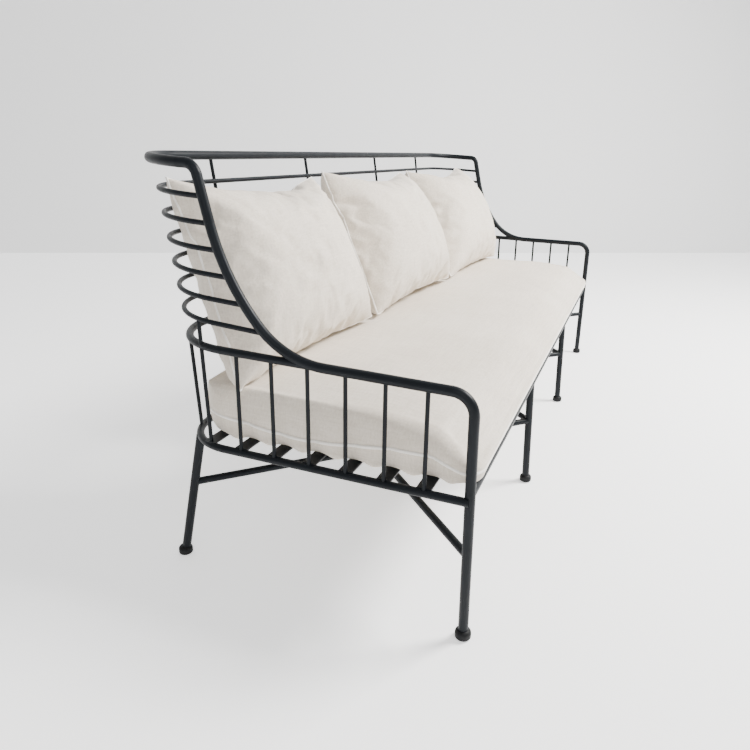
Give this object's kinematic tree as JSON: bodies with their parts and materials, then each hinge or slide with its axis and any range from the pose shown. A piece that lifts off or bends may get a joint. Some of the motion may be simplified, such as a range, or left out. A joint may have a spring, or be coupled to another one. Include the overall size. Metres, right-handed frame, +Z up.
{
  "type": "daybed",
  "caption": "Three-seat metal daybed with a bent-tube frame, railed back and ends, splayed legs with crossed stretchers, a seat cushion and loose back pillows.",
  "frame": {"origin": "on the floor at the middle of the footprint's length and depth", "axes": "+X along the length towards the right end seen from the front, +Y towards the back, +Z up"},
  "size_m": [1.9352, 0.725, 0.8601],
  "materials": {
    "frame_steel": "satin black powder coat",
    "foot_plastic": "moulded matt black",
    "cushion_linen": "plain woven off-white linen with self piping"
  },
  "bodies": {
    "frame": {"end_tube_left": "frame_steel", "end_tube_right": "frame_steel", "top_rail": "frame_steel", "middle_rail": "frame_steel", "seat_rail_rear": "frame_steel", "seat_rail_front": "frame_steel", "back_rod_1": "frame_steel", "back_rod_2": "frame_steel", "back_rod_3": "frame_steel", "back_rod_4": "frame_steel", "back_rod_5": "frame_steel", "back_rod_6": "frame_steel", "back_upright_1": "frame_steel", "back_upright_2": "frame_steel", "back_upright_3": "frame_steel", "back_upright_4": "frame_steel", "baluster_left_1": "frame_steel", "baluster_left_2": "frame_steel", "baluster_left_3": "frame_steel", "baluster_left_4": "frame_steel", "baluster_left_5": "frame_steel", "baluster_left_6": "frame_steel", "baluster_right_1": "frame_steel", "baluster_right_2": "frame_steel", "baluster_right_3": "frame_steel", "baluster_right_4": "frame_steel", "baluster_right_5": "frame_steel", "baluster_right_6": "frame_steel", "corner_post_left": "frame_steel", "corner_post_right": "frame_steel", "corner_baluster_left": "frame_steel", "corner_baluster_right": "frame_steel", "mid_leg_front_left": "frame_steel", "mid_leg_front_right": "frame_steel", "mid_leg_rear_left": "frame_steel", "mid_leg_rear_right": "frame_steel", "corner_leg_rear_left": "frame_steel", "corner_leg_rear_right": "frame_steel", "stretcher_left": "frame_steel", "stretcher_middle": "frame_steel", "stretcher_right": "frame_steel", "stretcher_left_halves": "frame_steel", "stretcher_middle_halves": "frame_steel", "stretcher_right_halves": "frame_steel", "cross_bearer_left": "frame_steel", "cross_bearer_right": "frame_steel", "seat_slat_1": "frame_steel", "seat_slat_2": "frame_steel", "seat_slat_3": "frame_steel", "seat_slat_4": "frame_steel", "seat_slat_5": "frame_steel", "seat_slat_6": "frame_steel", "seat_slat_7": "frame_steel", "foot_caps_front": "foot_plastic", "foot_caps_rear": "foot_plastic"},
    "seat_cushion": {"seat_cushion": "cushion_linen"},
    "pillow_left": {"back_pillow_left": "cushion_linen"},
    "pillow_middle": {"back_pillow_middle": "cushion_linen"},
    "pillow_right": {"back_pillow_right": "cushion_linen"}
  },
  "joints": [
    {"name": "seat_cushion_lift", "type": "slide", "parent": "frame", "child": "seat_cushion", "axis": [0, 0, 1], "range_m": [0, 0.24]},
    {"name": "pillow_left_lift", "type": "slide", "parent": "seat_cushion", "child": "pillow_left", "axis": [0, 0, 1], "range_m": [0, 0.43]},
    {"name": "pillow_middle_lift", "type": "slide", "parent": "seat_cushion", "child": "pillow_middle", "axis": [0, 0, 1], "range_m": [0, 0.43]},
    {"name": "pillow_right_lift", "type": "slide", "parent": "seat_cushion", "child": "pillow_right", "axis": [0, 0, 1], "range_m": [0, 0.43]}
  ]
}
